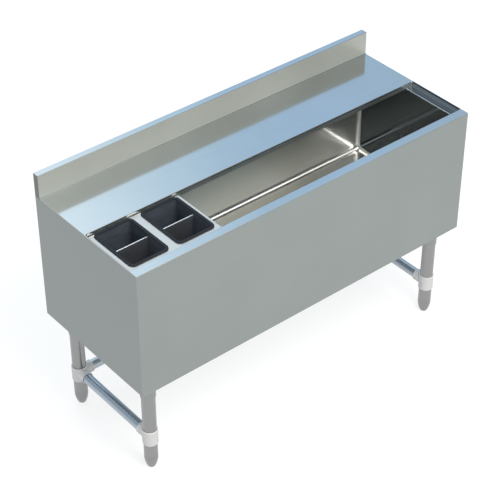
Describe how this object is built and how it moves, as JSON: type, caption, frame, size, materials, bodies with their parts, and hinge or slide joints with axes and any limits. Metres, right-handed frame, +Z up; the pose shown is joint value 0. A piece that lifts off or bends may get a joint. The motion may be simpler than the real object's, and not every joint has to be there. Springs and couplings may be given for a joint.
{
  "type": "underbar ice bin",
  "caption": "Long insulated stainless ice bin on tubular legs, with a rear shelf, a low backsplash and divided bottle wells that lift out of one end.",
  "frame": {"origin": "on the floor, below the middle of the unit's length and depth", "axes": "+X to the unit's right end as seen from its front, +Y from its front to its back, +Z up"},
  "size_m": [1.2192, 0.468, 0.8382],
  "materials": {
    "deck_steel": "satin polished stainless sheet",
    "panel_steel": "satin stainless sheet, brushed along its length",
    "tank_steel": "polished stainless sheet",
    "rack_steel": "bright stainless sheet",
    "divider_steel": "satin stainless sheet",
    "well_plastic": "black moulded plastic",
    "foam": "rigid insulating foam",
    "pan_steel": "galvanised sheet",
    "stub_steel": "satin stainless tube",
    "leg_steel": "satin stainless tube",
    "collar_alloy": "die-cast, bead-blasted",
    "rail_steel": "polished stainless tube",
    "foot_steel": "satin stainless",
    "drain_steel": "polished stainless",
    "gasket_rubber": "matt",
    "locknut_brass": "turned",
    "fastener_steel": "zinc plated"
  },
  "bodies": {
    "bin": {"top_deck": "deck_steel", "front_panel": "panel_steel", "back_panel": "panel_steel", "bottom_pan": "pan_steel", "tank_liner": "tank_steel", "foam_insulation": "foam", "rack_rear_angle": "rack_steel", "drain_body": "drain_steel", "drain_gasket": "gasket_rubber", "drain_locknut": "locknut_brass", "rear_rail": "rail_steel", "leg_plate_bolts": "fastener_steel", "leg_plate_nuts": "fastener_steel", "leg_set_screws": "fastener_steel", "collar_set_screws": "fastener_steel", "left_splash_end_cap": "deck_steel", "left_end_panel": "panel_steel", "left_leg_channel": "pan_steel", "left_end_rail": "rail_steel", "right_splash_end_cap": "deck_steel", "right_end_panel": "panel_steel", "right_leg_channel": "pan_steel", "right_end_rail": "rail_steel", "front_left_leg_stub": "stub_steel", "front_left_leg": "leg_steel", "front_left_collar": "collar_alloy", "front_left_leg_insert": "fastener_steel", "front_right_leg_stub": "stub_steel", "front_right_leg": "leg_steel", "front_right_collar": "collar_alloy", "front_right_leg_insert": "fastener_steel", "rear_left_leg_stub": "stub_steel", "rear_left_leg": "leg_steel", "rear_left_collar": "collar_alloy", "rear_left_leg_insert": "fastener_steel", "rear_right_leg_stub": "stub_steel", "rear_right_leg": "leg_steel", "rear_right_collar": "collar_alloy", "rear_right_leg_insert": "fastener_steel"},
    "rack": {"well_rack": "rack_steel"},
    "strainer": {"drain_strainer": "drain_steel"},
    "left_well": {"left_bottle_well": "well_plastic"},
    "left_divider": {"left_well_divider": "divider_steel"},
    "right_well": {"right_bottle_well": "well_plastic"},
    "right_divider": {"right_well_divider": "divider_steel"},
    "front_left_levelling_foot": {"front_left_foot": "foot_steel", "front_left_foot_stem": "fastener_steel"},
    "front_right_levelling_foot": {"front_right_foot": "foot_steel", "front_right_foot_stem": "fastener_steel"},
    "rear_left_levelling_foot": {"rear_left_foot": "foot_steel", "rear_left_foot_stem": "fastener_steel"},
    "rear_right_levelling_foot": {"rear_right_foot": "foot_steel", "rear_right_foot_stem": "fastener_steel"}
  },
  "joints": [
    {"name": "rack_lift", "type": "slide", "parent": "bin", "child": "rack", "axis": [0, 0, 1], "range_m": [0, 0.2]},
    {"name": "strainer_lift", "type": "slide", "parent": "bin", "child": "strainer", "axis": [0, 0, 1], "range_m": [0, 0.25]},
    {"name": "left_well_lift", "type": "slide", "parent": "rack", "child": "left_well", "axis": [0, 0, 1], "range_m": [0, 0.2]},
    {"name": "left_divider_lift", "type": "slide", "parent": "left_well", "child": "left_divider", "axis": [0, 0, 1], "range_m": [0, 0.18]},
    {"name": "right_well_lift", "type": "slide", "parent": "rack", "child": "right_well", "axis": [0, 0, 1], "range_m": [0, 0.2]},
    {"name": "right_divider_lift", "type": "slide", "parent": "right_well", "child": "right_divider", "axis": [0, 0, 1], "range_m": [0, 0.18]},
    {"name": "front_left_foot_adjust", "type": "slide", "parent": "bin", "child": "front_left_levelling_foot", "axis": [0, 0, 1], "range_m": [-0.025, 0]},
    {"name": "front_right_foot_adjust", "type": "slide", "parent": "bin", "child": "front_right_levelling_foot", "axis": [0, 0, 1], "range_m": [-0.025, 0]},
    {"name": "rear_left_foot_adjust", "type": "slide", "parent": "bin", "child": "rear_left_levelling_foot", "axis": [0, 0, 1], "range_m": [-0.025, 0]},
    {"name": "rear_right_foot_adjust", "type": "slide", "parent": "bin", "child": "rear_right_levelling_foot", "axis": [0, 0, 1], "range_m": [-0.025, 0]}
  ]
}
